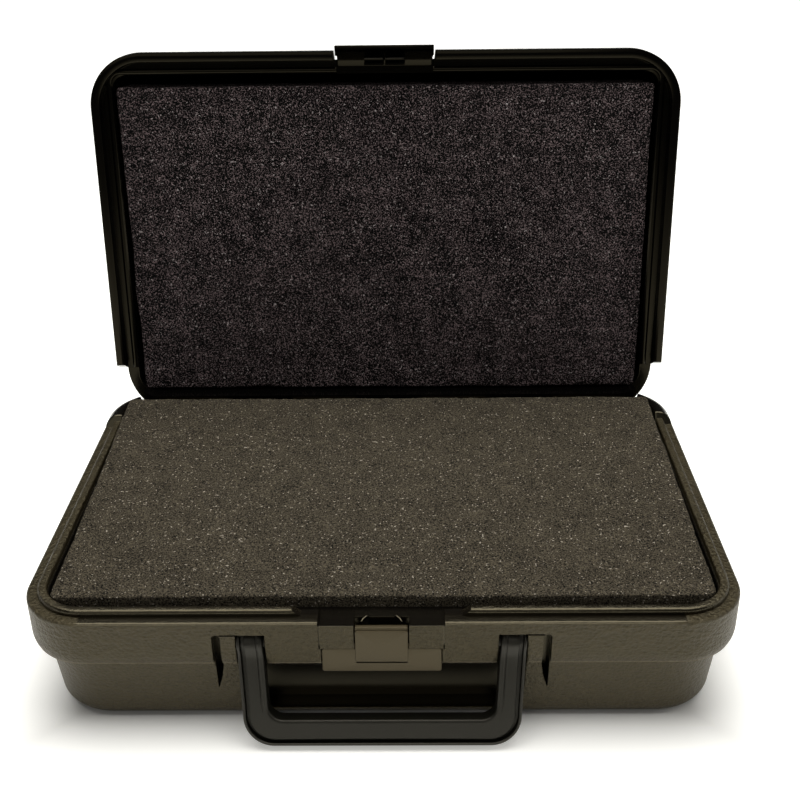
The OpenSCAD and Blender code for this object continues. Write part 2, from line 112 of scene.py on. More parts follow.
def build(name, grids, sharp, grain):
    """One mesh from grids of points in millimetres, shaped rows by columns by 3, each cell one face.
    Rows or columns that fall together close the surface: doubles are merged and faces turned outwards.
    Edges sharper than sharp degrees stay hard; grain holds one number for each point."""
    corners, faces, first = [], [], 0
    for grid in grids:
        rows, columns = grid.shape[:2]
        index = first + np.arange(rows * columns).reshape(rows, columns)
        corners.append(grid.reshape(-1, 3))
        cell = [index[:-1, :-1], index[:-1, 1:], index[1:, 1:], index[1:, :-1]]
        faces.append(np.stack(cell, -1).reshape(-1, 4))
        first += rows * columns
    mesh = bpy.data.meshes.new(name)
    mesh.from_pydata((np.concatenate(corners) * 0.001).tolist(), [], np.concatenate(faces).tolist())
    if grain is not None:
        layer = mesh.attributes.new("grain", "FLOAT", "POINT")
        layer.data.foreach_set("value", grain.ravel().astype(np.float32))
    bm = bmesh.new()
    bm.from_mesh(mesh)
    bmesh.ops.remove_doubles(bm, verts=bm.verts, dist=1e-6)
    bmesh.ops.dissolve_degenerate(bm, dist=1e-7, edges=bm.edges)
    bmesh.ops.recalc_face_normals(bm, faces=bm.faces)
    bm.to_mesh(mesh)
    bm.free()
    mesh.polygons.foreach_set("use_smooth", np.ones(len(mesh.polygons), bool))
    mesh.set_sharp_from_angle(angle=math.radians(sharp))
    mesh.update()
    return mesh


def inside_box(x, z, x0, x1, z0, z1, r):
    """How far a place lies inside a box with corners of radius r: positive inside, negative outside."""
    beyond_x = np.abs(x - (x0 + x1) / 2) - (x1 - x0) / 2 + r
    beyond_z = np.abs(z - (z0 + z1) / 2) - (z1 - z0) / 2 + r
    outside = np.hypot(np.maximum(beyond_x, 0), np.maximum(beyond_z, 0))
    return r - outside - np.minimum(np.maximum(beyond_x, beyond_z), 0)


def carve(y, inside, floor, edge=0.6, wall=0.14):
    """Sinks y to floor where inside is positive: a quarter round of radius edge, then a wall that drops
    over the width wall."""
    depth = np.clip(inside, 0, None)
    curve = edge - np.sqrt(np.maximum(edge ** 2 - np.minimum(depth, edge) ** 2, 0))
    dropped = np.clip((depth - edge) / wall, 0, 1)
    sunk = np.minimum(y + curve, np.maximum(floor, y))
    return np.where(inside > 0, sunk + (np.maximum(floor, y) - sunk) * dropped, y)


stem_room, latch_room, flap_line, flap_edge = 12.4, 27.6, 27.95, 28.4
latch_floor, pocket_back, channel_back = 56.5, -92.2, -94.0
block_edge, recess_edge, ear_top = 51.8, 65.8, 54.7
slot_inner, slot_outer, bulge_edge = 71.8, 76.3, 77.9
detail_half = 80.0


def front_surface(x, z, plain):
    """Depth of the base's front face at x and height z, from its plain depth. Blocks stand proud of the
    belt's rounded foot; the recess with its round ceiling, channels, slots, latch room and the lines
    beside the flaps are sunk by their outlines."""
    a = np.abs(x)
    block_side = block_edge - 1.2 * np.clip((47.5 - z) / 24, 0, 1)
    block = np.minimum(inside_box(a, z, 20.0, block_edge, 39.0, 80.0, 2.6), block_side - a)
    rounded = 0.7 - np.sqrt(np.maximum(0.49 - np.clip(0.7 - block, 0, 0.7) ** 2, 0))
    y = np.where((block > 0) & (a > 27.0), np.minimum(plain, front_y + rounded), plain)
    ceiling = np.sqrt(np.maximum(104.9 - np.maximum(38.0 - z, 0) ** 2, 0))
    recess_back = np.where(z < belt_foot, channel_back - ceiling, -200.0)
    recess = inside_box(a, z, -recess_edge, recess_edge, 5.0, 120.0, 10.5)
    y = carve(y, recess, recess_back, edge=0.8, wall=0.5)
    channel = np.minimum(inside_box(a, z, 40.0, recess_edge, 20.0, ear_top, 1.5), a - block_side)
    y = carve(y, channel, channel_back)
    slot_side = slot_inner + 4.6 * np.clip((39.0 - z) / 22.0, 0, 1) ** 1.7
    slot = inside_box(a, z, 60.0, slot_outer, 16.5, ear_top, 2.0)
    slot = np.minimum(slot, np.minimum(a - slot_side, (ear_top - z) + 0.2))
    top_round = np.minimum(slot, 2.25 - np.hypot(a - 74.05, z - 52.45))
    slot = np.where((a < 74.0) & (z > 52.5), top_round, slot)
    y = carve(y, slot, -94.5, edge=0.4, wall=0.2)
    ear_line = np.minimum(0.35 - np.abs(z - 54.3), np.minimum(a - 65.0, 72.5 - a))
    y = np.where(ear_line > 0, np.maximum(y, front_y + 0.9), y)
    y = carve(y, inside_box(a, z, -latch_room, latch_room, 29.5, 47.0, 0.5), -102.8, edge=0.4)
    on_line = (np.abs(a - flap_line) < 0.3) & (z > 46.6)
    y = np.where(on_line, np.maximum(y, front_y + 1.6), y)
    stem_back = np.where(z > 49.0, -99.5, -104.4)
    return np.where((a < stem_room) & (z > 34.4), np.maximum(y, stem_back), y)


def both_sides(places):
    """The places and their mirror images."""
    return [sign * place for sign in (1, -1) for place in places]


def corner_turn(split):
    """Angles round a rear corner in degrees, with two close together where the surface steps."""
    return np.sort(np.append(np.linspace(0, 90, 25), [split - 1e-4, split + 1e-4]))


cavity_half, cavity_front, cavity_back, cavity_floor = 155.0, -100.0, 92.5, 8.0
cavity_r_front, cavity_r_back = 20.0, 12.0
gutter_half, gutter_wall, gutter_floor = 150.0, 95.2, 45.2
edges = both_sides([stem_room, latch_room, block_edge, recess_edge, slot_inner, slot_outer])
beside_edge = both_sides([-0.15, 0.0, 0.15, 0.3, 0.45, 0.57, 0.62, 0.76])
slanted = both_sides(np.concatenate([np.arange(49.6, 53.2, 0.4), np.arange(70.8, 77.6, 0.4)]))
stepped = both_sides([stem_room, flap_line - 0.3, flap_line + 0.3, flap_edge, bulge_edge])
doubled = [place + d for place in stepped for d in (-2e-4, 2e-4)]
outside = both_sides([90, 100, 110, 120, 128, 135])
front = spaced(-detail_half, detail_half, 1.0, edges, beside_edge)
front = np.unique(np.concatenate([front, slanted, doubled, outside]))
gutter_turn = math.degrees(math.acos((gutter_half - run_x) / outer_r))
base_columns = outline_columns(front, spaced(-run_y, run_y, 8), spaced(-run_x, run_x, 9),
                               np.linspace(0, 90, 25), corner_turn(gutter_turn))


def case_ring(inset, soften):
    """The base's outline drawn in by inset, its corners larger by soften."""
    r = outer_r - inset + soften
    return ring(base_columns, half_width - inset, front_y + inset, back_y - inset, r, r)


def cavity_turn(angle):
    """Angle round the cavity's rear corner for a column at that angle of the outer corner: the hump
    takes the first part of both, up to where both are as far out as the gutter."""
    hump_part = 54.3
    a = np.degrees(np.minimum(angle, np.pi - angle))
    x = run_x + outer_r * np.cos(np.radians(a))
    rest = hump_part + (90 - hump_part) * (gutter_half - x) / (gutter_half - run_x)
    turned = np.radians(np.where(a <= gutter_turn, hump_part * a / gutter_turn, rest))
    return np.where(angle <= np.pi / 2, turned, np.pi - turned)


def cavity_ring(inset):
    """The cavity's outline, drawn in by inset."""
    return ring(base_columns, cavity_half - inset, cavity_front + inset, cavity_back - inset,
                cavity_r_front - inset, cavity_r_back - inset, rear_angle=cavity_turn)


def outside_rows():
    """Height, inset and corner softening of each row up the outside: a quarter round at the bottom, the
    drafted body, the ledge, the belt with its rounded foot and the bead there, and the top edge."""
    beside_step = (-0.9, -0.76, -0.62, -0.55, -0.4, -0.25, -0.1, 0, 0.1, 0.3, 0.6)
    low = spaced(0.0, foot_r, 0.9, [5.0],
                 (-0.3, -0.1, 0, 0.15, 0.35, 0.55, 0.7, 0.85, 1.0, 1.2, 1.4))
    body = spaced(8.8, 37.4, 0.85, [29.5, 34.4], (-0.1, 0, 0.12, 0.25, 0.38, 0.45, 0.56))
    belt = spaced(belt_foot, shoulder_foot, 0.85,
                  [belt_foot, 39.0, 47.0, 49.0, ear_top, shoulder_foot], beside_step)
    rows = [(0.0, foot_inset + foot_r, 7.0)]
    for z in low:
        rise = math.sqrt(max(foot_r ** 2 - (foot_r - z) ** 2, 0))
        rows.append((z, foot_inset + foot_r - rise, 7.0))
    for z in body:
        rows.append((z, foot_inset - 3.4 * (z - foot_r) / 30.5, 7.0))
    rows += [(37.45, 3.95, 6.9), (belt_foot, 3.4, 3.5)]
    for z in belt:
        round_part = np.clip((43.5 - z) / 6, 0, 1)
        bead = 0.5 * math.exp(-((z - 37.75) / 0.32) ** 2)
        rows.append((z, 2.6 * (1 - math.sqrt(1 - round_part ** 2)) - bead, 0.0))
    rows += [(59.8, 0.0, 0.0), (60.26, 0.09, 0.0), (60.65, 0.35, 0.0), (60.91, 0.74, 0.0)]
    rows.append((base_h, 1.2, 0.0))
    return rows


def base_skin():
    """The whole skin as one closed grid, and how grained each point is, from 0 for smooth to 1. Rows
    climb the outside, cross the shoulder and go down the cavity; near the latch and behind the hinge
    the upper rows follow the pockets there. Sunk and inner surfaces are smooth; on the sunk ones the
    smooth near-black colour is also painted shade in the recess, channels, slots and latch room."""
    rows = outside_rows()
    part, value = base_columns
    outer = case_ring(0, 0)
    on_front = (part == 0) & (np.abs(value) <= detail_half)
    in_gutter = (outer[:, 1] > 0) & (np.abs(outer[:, 0]) < gutter_half - 1e-4)
    beside = on_front & (np.abs(value) < flap_edge)
    middle = on_front & (np.abs(value) < stem_room)
    bulge = on_front & (np.abs(value) < bulge_edge)
    smooth = np.zeros(len(outer))
    grid, grain = [at(np.zeros_like(outer), 0.0)], [smooth]
    for z, inset, soften in rows:
        xy = case_ring(inset, soften)
        # The shoulder is nearly smooth and black in front but grained and paler round the sides and back;
        # the paler sides partly paint the lamp's sheen there
        rough = smooth + (1.0 if z < 60.3 else 0.1) + 0.8 * (z > 60.3) * (part != 0)
        rough[in_gutter & (z > 45)] = 0.0
        if z < 60:
            plain = xy[on_front, 1].copy()
            xy[on_front, 1] = front_surface(value[on_front], np.full(on_front.sum(), z), plain)
            # Sunk faces lose their grain and its paler colour: partly painted shade in the recess, channels
            # and slots
            sunk = np.clip(1.5 - (xy[on_front, 1] - plain) / 0.5, 0, 1)
            under_ledge = np.clip((z - 31) / 8, 0, 1) * (z < 39.5) * (np.abs(value[on_front]) < 62)
            rough[on_front] = np.maximum(sunk, under_ledge)
        grid.append(at(xy, z))
        grain.append(rough)

    # The gutter's floor runs in to its wall, and its wall climbs to the shoulder
    climb = [k for k, (z, inset, soften) in enumerate(rows) if z > gutter_floor]
    for n, k in enumerate(climb):
        way = 2 * (n + 1) / len(climb)
        inwards = gutter_wall - outer[in_gutter, 1]
        grid[k + 1][in_gutter, 0] = outer[in_gutter, 0]
        grid[k + 1][in_gutter, 1] = outer[in_gutter, 1] + inwards * min(way, 1)
        grid[k + 1][in_gutter, 2] = gutter_floor + (base_h - gutter_floor) * max(way - 1, 0)

    # The shoulder crosses to the cavity by a middle line that goes under the humps
    edge = grid[-1].copy()
    inner = at(cavity_ring(0.22), base_h)
    hump = ((part == 5) | (part == 6)) & ~in_gutter
    middle_line = (edge + inner) / 2
    share = np.minimum(value[hump], np.pi - value[hump]) / math.radians(gutter_turn)
    middle_line[hump, 0] = np.sign(outer[hump, 0]) * (155.0 - 5.0 * share ** 2.5)
    middle_line[hump, 1] = 80.5 + 14.7 * share
    for way in (0.25, 0.5, 0.75, 1.0):
        outwards = (middle_line - edge) * min(2 * way, 1)
        grid.append(edge + outwards + (inner - middle_line) * max(2 * way - 1, 0))
        # Paler grained sides here too: partly a painted sheen
        grain.append(smooth + (0.0 if way > 0.5 else 0.1) + 0.8 * (way < 0.9) * (part != 0))

    # Beside the latch's stem the rows go over the flaps, and at the stem into its room
    past_shoulder = list(range(len(rows) + 1, len(grid)))
    upper = [k + 1 for k, (z, inset, soften) in enumerate(rows) if z > shoulder_foot + 1e-3]
    upper += past_shoulder
    path = np.array([(-110.0, 59.2), (-109.7, 59.3), (-108.3, 59.3), (-108.0, 59.1),
                     (-108.0, latch_floor), (pocket_back, latch_floor)])
    for n, k in enumerate(upper):
        # The latch pocket is smooth and near black, which partly paints the shade in it
        grain[k] = np.where(beside | in_gutter, 0.0, grain[k])
        way = (n + 1) / len(upper) * (len(path) - 1)
        start, end = path[int(way)], path[min(int(way) + 1, len(path) - 1)]
        grid[k][beside, 1:] = start + (end - start) * (way - int(way))
    above = [k + 1 for k, (z, inset, soften) in enumerate(rows) if z > latch_floor] + past_shoulder
    for n, k in enumerate(above):
        grid[k][middle, 1] = -99.5 + (pocket_back + 99.5) * (n + 1) / len(above)
        grid[k][middle, 2] = latch_floor

    # The cavity's wall, with a shelf behind the latch, its bottom round and its floor
    down = [60.6, 58.0, 56.5, 56.5, 56.5] + list(np.linspace(52, 14, 6))
    down = [(z, 2 * (68 - z) / 54) for z in down]
    down += [(14 - 6 * math.sin(a), 8 - 6 * math.cos(a)) for a in np.radians([22.5, 45, 67.5, 90])]
    for n, (z, inset) in enumerate(down):
        row = at(cavity_ring(inset), z)
        if n >= 3:
            row[bulge, 1] = cavity_front + (pocket_back - cavity_front) * min((n - 2) / 2, 1)
        row[beside, 1] = pocket_back
        row[beside, 2] = min(z, latch_floor)
        grid.append(row)
        grain.append(smooth)
    grid.append(at(np.zeros_like(outer), cavity_floor))
    grain.append(smooth)
    return np.stack(grid), np.stack(grain)


class Wire:
    """A socket in a material. Operators with numbers or other wires add Math nodes, and node() adds
    any other."""

    def __init__(self, tree, socket=None):
        self.tree = tree
        self.socket = socket

    def node(self, kind, settings, sockets, out=0):
        """Adds a node of that kind, sets its settings, then the values or links of its sockets."""
        made = self.tree.nodes.new("ShaderNode" + kind)
        for key, setting in settings.items():
            if key == "stops":
                while len(made.color_ramp.elements) < len(setting):
                    made.color_ramp.elements.new(1.0)
                for element, (place, colour) in zip(made.color_ramp.elements, setting):
                    element.position, element.color = place, colour
            else:
                setattr(made, key, setting)
        for key, given in sockets.items():
            if isinstance(given, Wire):
                self.tree.links.new(given.socket, made.inputs[key])
            else:
                made.inputs[key].default_value = given
        return Wire(self.tree, made.outputs[out])

    def feed(self, shader, name):
        """Links this wire to the shader's socket of that name."""
        self.tree.links.new(self.socket, shader.inputs[name])

    def noise(self, place, scale, **more):
        """Noise of that scale over the places; more names its other sockets."""
        return self.node("TexNoise", {}, {"Vector": place, "Scale": scale, **more})

    def bump(self, shader, distance, strength=1.0):
        """Raises the shader's surface by this wire, over the distance in metres."""
        made = self.node("Bump", {}, {"Strength": strength, "Distance": distance, "Height": self})
        made.feed(shader, "Normal")

    def math(self, operation, a, b):
        """One Math node."""
        return self.node("Math", {"operation": operation}, {0: a, 1: b})

    def size(self):
        """The value without its sign."""
        return self.math("ABSOLUTE", self, 0.0)

    def mix(self, share, a, b):
        """Colour a where share is 0, b where it is 1."""
        return self.node("Mix", {"data_type": "RGBA"}, {0: share, 6: a, 7: b}, 2)

    def __add__(self, other):
        return self.math("ADD", self, other)

    def __sub__(self, other):
        return self.math("SUBTRACT", self, other)

    def __rsub__(self, other):
        return self.math("SUBTRACT", other, self)

    def __mul__(self, other):
        return self.math("MULTIPLY", self, other)

    __radd__, __rmul__ = __add__, __mul__


def finish(name, **plain):
    """New material with its shader's plain values set; returns it with the wire to build on and the
    shader."""
    material = bpy.data.materials.new(name)
    material.use_nodes = True
    shader = material.node_tree.nodes["Principled BSDF"]
    for key, value in plain.items():
        shader.inputs[key.replace("_", " ")].default_value = value
    return material, Wire(material.node_tree), shader


def moulded_plastic(name, smooth, grained, roughness, grained_roughness, depth, line_highlight, shine):
    """Polyethylene: pebbles about 1.6 mm wide with fine dust and streaks along the belt where the piece's
    grain is 1, and a glossier, faintly wavy skin where it is 0; the crests of the grain are a little
    paler. depth is the grain's in millimetres, and line_highlight how strong the painted highlight is:
    a pale line painted on the grained skin at the height of the belt's foot, where a lit edge would shine."""
    # The pale colour is a painted highlight, a line that stands in for the shine on the belt's lit foot
    painted_highlight, line_height = (0.2, 0.17, 0.12, 1), 0.0377
    pits = [channel * 0.25 for channel in grained[:3]] + [1]
    material, wire, shader = finish(name, Specular_IOR_Level=shine, IOR=1.5,
                                    Specular_Tint=(1, 0.88, 0.58, 1))
    place = wire.node("TexCoord", {}, {}, "Object")
    grain = wire.node("Attribute", {"attribute_name": "grain"}, {}, "Fac")
    pebble = wire.node("TexVoronoi", {"feature": "SMOOTH_F1"},
                       {"Vector": place, "Scale": 620.0, "Smoothness": 0.7})
    dust = wire.noise(place, 1700.0, Detail=3.0)
    drawn = wire.node("Mapping", {}, {"Vector": place, "Scale": (0.25, 0.25, 1.0)})
    streak = wire.noise(drawn, 700.0, Detail=4.0, Roughness=0.6)
    broad = wire.noise(place, 22.0, Detail=4.0)
    relief = pebble * 0.55 + dust * 0.5 + streak * 0.55
    # The band about line_height is lifted to the pale colour where the skin is grained: a painted highlight
    off_line = (wire.node("SeparateXYZ", {}, {"Vector": place}, "Z") - line_height).size()
    line = wire.node("MapRange", {}, {"Value": off_line, "From Min": 0.0002, "From Max": 0.0007,
                                      "To Min": 1.0, "To Max": 0.0})
    crests = wire.mix(relief * 1.6 + broad * 0.4 - 1.0, pits, grained)
    tone = wire.mix(grain, smooth, crests)
    wire.mix(line * grain * line_highlight, tone, painted_highlight).feed(shader, "Base Color")
    dull = grain * (grained_roughness - roughness) + dust * 0.12 + broad * 0.1 + (roughness - 0.11)
    dull.feed(shader, "Roughness")
    (relief * grain + broad * 0.05).bump(shader, depth * 0.001)
    return material


def place_piece(name, grids, material, body, slot, *nodes, sharp=35.0, grain=None):
    """Builds the piece and adds it to the scene on its body, and hides the CAD nodes that it stands for.
    slot is not used."""
    mesh = build(name, grids, sharp, grain)
    obj = bpy.data.objects.new(name, mesh)
    bpy.context.scene.collection.objects.link(obj)
    mesh.materials.append(material)
    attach(obj, body)
    if nodes:
        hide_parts(*nodes)
    return obj


shell = moulded_plastic("shell_plastic", smooth=(0.0018, 0.0015, 0.0014, 1), grained=(0.03, 0.022, 0.009, 1),
                        roughness=0.22, grained_roughness=0.45, depth=1.1, line_highlight=0.9, shine=0.72)
skin_grid, skin_grain = base_skin()
place_piece("base_skin", [skin_grid], shell, "base", "shell_plastic", "base_shell", grain=skin_grain)


# Lip, rear humps, webs and base knuckles
# All moulded in one with the base: the lip that the lid's rim closes round,
# the raised rear corners that fill its notches, two webs behind the latch,
# and every other knuckle of the hinge.

hinge_y, hinge_z, knuckle_r = 101.7, 52.5, 6.0
knuckle_pitch, knuckle_start, knuckle_length = 40.0, -139.7, 39.4
notch_y = 72.5
web_half = 0.4


def lip_grid(sign):
    """One half of the lip and how grained it is: a section of inset and height, rounded at its top,
    carried round the outline from the slanted end beside the latch to the hump. It is smooth in front
    and grained along the sides, where the paler grained colour also paints the lamp's sheen."""
    in_front = np.concatenate([spaced(36, 90, 6), [100, 112, 124, 135]])
    columns = outline_columns(in_front, spaced(-run_y, 75, 12), np.array([run_x]),
                              np.linspace(0, 90, 25), np.array([0.0]))
    keep = np.isin(columns[0], (0, 4, 1))
    keep[-1] = False
    columns = (columns[0][keep], columns[1][keep])
    turns = np.radians([0, 22.5, 45, 67.5, 90])
    section = [(7.5, 60.7), (5.2, 60.7), (5.2, 62.0)]
    section += [(6.6 - 1.4 * math.cos(a), 62.55 + 1.4 * math.sin(a)) for a in turns]
    section += [(8.6 + 0.9 * math.sin(a), 63.05 + 0.9 * math.cos(a)) for a in turns]
    section += [(9.5, 62.5), (9.5, 60.7), (7.5, 60.7)]
    rows = []
    for inset, z in section:
        r = outer_r - inset
        xy = ring(columns, half_width - inset, front_y + inset, back_y - inset, r, r, kept=76.0)
        xy[:, 0] += (z - base_h) * 1.4 * np.clip((48 - xy[:, 0]) / 12, 0, 1)
        rows.append(at(xy, z))
    grid = np.stack(rows)
    ends = [np.broadcast_to(grid[:, e].mean(0), grid[:, e].shape)[:, None] for e in (0, -1)]
    grid = np.concatenate([ends[0], grid, ends[1]], 1)
    # Grain rises from the front to the sides; the paler sides are partly a painted sheen from the lamp
    return grid * [sign, 1, 1], np.interp(grid[:, :, 1], [-106, -90], [0.0, 0.9])


def hump_grid(sign):
    """A rear corner. Columns follow the outline from the slanted front to where the gutter begins; rows
    cross from the outline to the cavity's edge. The height is a quarter round of 7 mm from the outline
    inwards, cut by the slant, with the edge between them softened."""
    foot_z, top_r, soft = 60.3, 7.0, 0.35
    y = np.concatenate([[72.42], np.arange(notch_y, 77.4, 0.3), [78, 78.7, 79.4]])
    turn = np.radians(np.linspace(0, 59.55, 25))
    inner_turn = turn * 54.3 / 59.55
    r = outer_r - 0.4
    outline = np.concatenate([
        np.stack([np.full_like(y, run_x + r), y], 1),
        np.stack([run_x + r * np.cos(turn), run_y + r * np.sin(turn)], 1)])
    inside = np.concatenate([
        np.stack([np.full_like(y, 154.8), y], 1),
        np.stack([143 + 11.8 * np.cos(inner_turn), 80.5 + 11.8 * np.sin(inner_turn)], 1)])
    shares = [0, 0.01, 0.03, 0.07, 0.13, 0.2, 0.28, 0.37, 0.46, 0.55, 0.65, 0.75, 0.84, 0.9, 0.94,
              0.97, 0.99, 1.0]
    foot = at((outline + inside) / 2, foot_z)
    rows = [foot, at(outline, foot_z)]
    for share in shares:
        p = outline + (inside - outline) * share
        inwards = r - np.hypot(np.maximum(p[:, 0] - run_x, 0), np.maximum(p[:, 1] - run_y, 0))
        round_z = 60 + np.sqrt(top_r ** 2 - (top_r - np.clip(inwards, 0, top_r)) ** 2)
        slant_z = base_h + (p[:, 1] - notch_y) * 6 / 3.8
        z = -soft * np.logaddexp(-round_z / soft, -slant_z / soft)
        near = np.clip(np.linalg.norm(inside - p, axis=1), 0, 1)
        z -= 1 - np.sqrt(1 - (1 - near) ** 2)
        rows.append(at(p, np.maximum(z, foot_z)))
    rows += [at(inside, foot_z), foot]
    grid = np.stack(rows)
    ends = [np.broadcast_to(foot[e], grid[:, :1].shape) for e in (0, -1)]
    return np.concatenate([ends[0], grid, ends[1]], 1) * [sign, 1, 1]


def bar_grid(profile, x0, x1, soft=0.35, narrow=0.0):
    """A closed profile in y and z carried along x, with its two ends rounded over the length soft and
    closed in their middles. narrow says how much closer to the middle each profile point's ends lie."""
    profile = np.array(profile, float)
    centre = (profile.min(0) + profile.max(0)) / 2
    reach = np.abs(profile - centre).max(0)
    quarter = np.radians([0, 30, 60, 90])
    ends = [(0.0, np.zeros(2))]
    for a in quarter:
        ends.append((soft * (1 - math.cos(a)), 1 - soft * (1 - math.sin(a)) / np.maximum(reach, soft)))
    rows = []
    for side, end in ((1, x0), (-1, x1)):
        half = []
        for along, scale in ends:
            p = centre + (profile - centre) * scale
            x = np.full(len(p), end + side * along) + side * narrow
            half.append(np.stack([x, p[:, 0], p[:, 1]], 1))
        rows += half if side == 1 else half[::-1]
    return np.stack(rows)


def arc(cy, cz, r, a0, a1, n=9):
    """Points on a circle in y and z, from angle a0 to a1 in degrees, 0 towards +y."""
    return [(cy + r * math.cos(a), cz + r * math.sin(a)) for a in np.radians(np.linspace(a0, a1, n))]


def knuckles(profile, numbers):
    """Bars of the hinge, one at each of those places along it."""
    starts = [knuckle_start + knuckle_pitch * k for k in numbers]
    return [bar_grid(profile, x, x + knuckle_length) for x in starts]


def web_grid(sign):
    """A thin rib that runs back and inwards behind the latch, low in front and peaked at the back; its
    side view, a closed line, is carried across the rib's thickness with its edges drawn in."""
    line = np.array([(9.2, -104.2, 49.2), (9.2, -104.2, 57.4), (8.3, -103.0, 58.3),
                     (6.6, -101.2, 58.6), (6.3, -100.8, 58.2), (6.1, -100.4, 56.8),
                     (6.1, -100.4, 49.2), (9.2, -104.2, 49.2)])
    middle = line[:-1].mean(0)
    rows = []
    for across, scale in ((-1, 0.0), (-1, 0.9), (-0.625, 1.0), (0.625, 1.0), (1, 0.9), (1, 0.0)):
        rows.append(middle + (line - middle) * scale + [across * web_half, 0, 0])
    return np.stack(rows) * [sign, 1, 1]


lips = [lip_grid(1), lip_grid(-1)]
root = [(107.7, 44.7), (107.7, hinge_z)] + arc(hinge_y, hinge_z, knuckle_r, 0, 180, 25)[1:]
root += [(95.0, 52.0), (95.0, 44.7), (107.7, 44.7)]
bare = [hump_grid(1), hump_grid(-1), web_grid(1), web_grid(-1)] + knuckles(root, (0, 2, 4, 6))
trim_grain = [grain.ravel() for grid, grain in lips] + [np.zeros(grid[..., 0].size) for grid in bare]
trim = [grid for grid, grain in lips] + bare
place_piece("base_trim", trim, shell, "base", "shell_plastic", grain=np.concatenate(trim_grain))


# Hinge rod
# Drawn steel wire pushed through all the knuckles. Its CAD shape is right, so
# it only gets its own metal with fine lines drawn along it.

steel, wire, shader = finish("rod_steel", Metallic=1.0)
place = wire.node("TexCoord", {}, {}, "Object")
drawn = wire.node("Mapping", {}, {"Vector": place, "Scale": (0.02, 1, 1)})
lines = wire.noise(drawn, 6000.0)
wire.mix(lines, (0.42, 0.43, 0.44, 1), (0.62, 0.63, 0.64, 1)).feed(shader, "Base Color")
(lines * 0.2 + 0.2).feed(shader, "Roughness")
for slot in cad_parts["hinge_rod"].material_slots:
    slot.material = steel


# Lid moulding
# Upper half, the same double-walled moulding with a panel sunk in its roof.
# Its rim closes round the lip; the rear corners are notched for the humps.
# It is worked out shut and then turned back about the hinge.

open_angle = math.radians(96.4)
rim_foot, rim_top, ledge_z = 61.3, 69.8, 68.8
panel_z, roof_z, roof_r = 98.2, 99.0, 11.0
mouth_half, mouth_front, mouth_r = 154.0, -98.2, 6.0
skirt_half, skirt_front, skirt_back, skirt_r_front, skirt_r_back = 160.0, -105.0, 107.7, 22.0, 32.0
panel_half, panel_reach, panel_r = 131.0, 76.0, 8.0
tab_gap, notch, heel_half, slot_round = 28.5, 72.0, 149.5, 1.2


def opened(points):
    """Points of the shut lid turned back about the hinge's axis to where the open lid rests."""
    y, z = points[..., 1] - hinge_y, points[..., 2] - hinge_z
    return np.stack([points[..., 0], hinge_y + y * math.cos(open_angle) + z * math.sin(open_angle),
                     hinge_z - y * math.sin(open_angle) + z * math.cos(open_angle)], -1)


